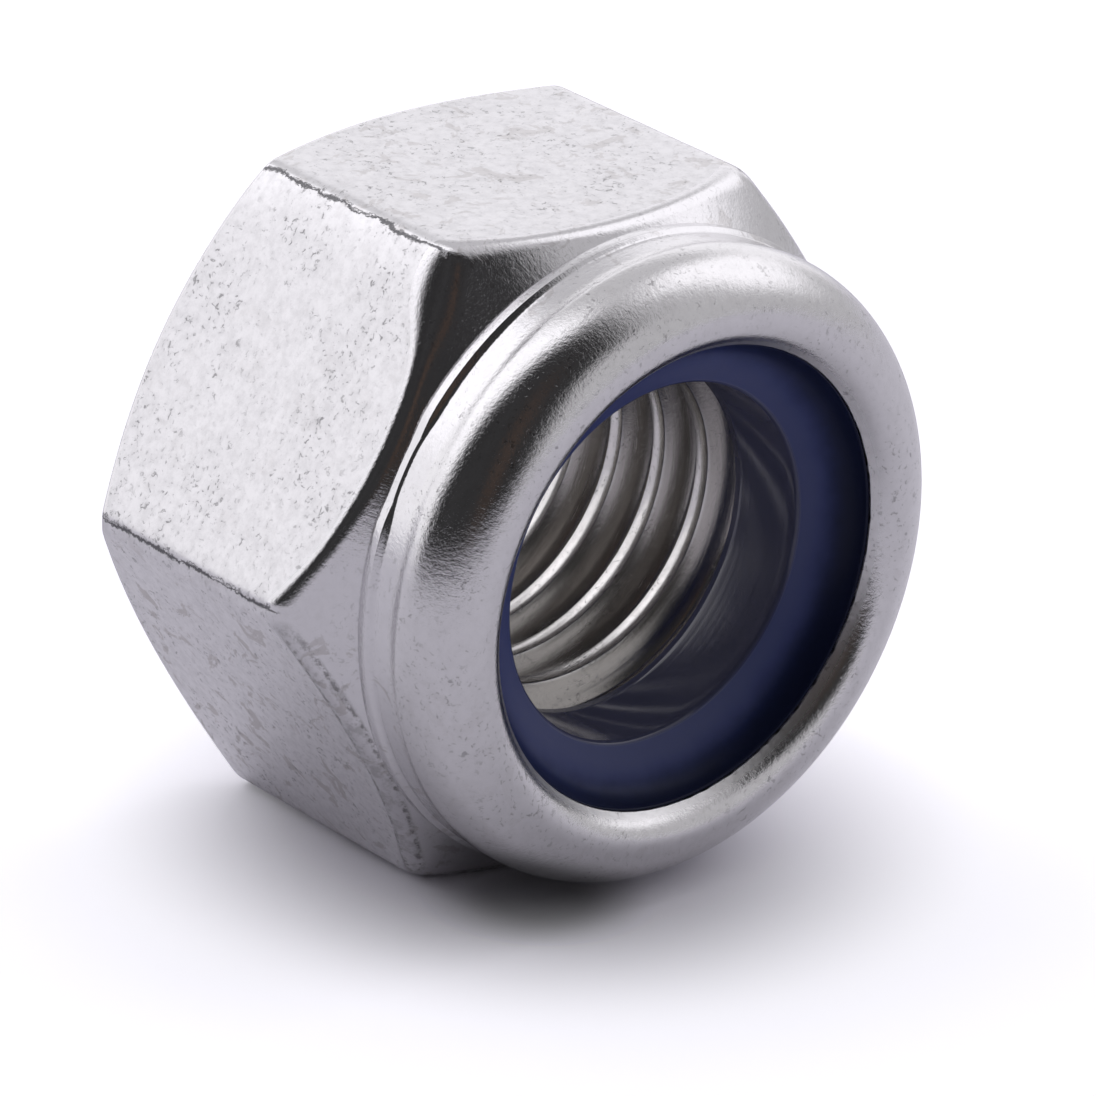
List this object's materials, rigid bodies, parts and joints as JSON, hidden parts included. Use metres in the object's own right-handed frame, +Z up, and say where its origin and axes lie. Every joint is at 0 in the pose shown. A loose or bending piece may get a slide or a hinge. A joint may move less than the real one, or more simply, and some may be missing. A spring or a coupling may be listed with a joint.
{
  "type": "nylon insert lock nut",
  "caption": "Stainless hexagon lock nut whose rolled collar holds a blue nylon ring that grips the bolt's thread against vibration.",
  "frame": {"origin": "centre of the bearing face, on the thread axis", "axes": "+Y out of the bearing face, the way the bolt leaves; the collar and its ring point to -Y; +Z up, away from the flat that the nut lies on; two corners of the hexagon at +X and -X"},
  "size_m": [0.0148, 0.0094, 0.013],
  "materials": {
    "stainless_steel": "bright pickled stainless steel with fine pits and smears",
    "blue_nylon": "smooth dark blue nylon"
  },
  "bodies": {
    "root": {"nut_body": "stainless_steel", "nylon_insert": "blue_nylon"}
  },
  "joints": []
}
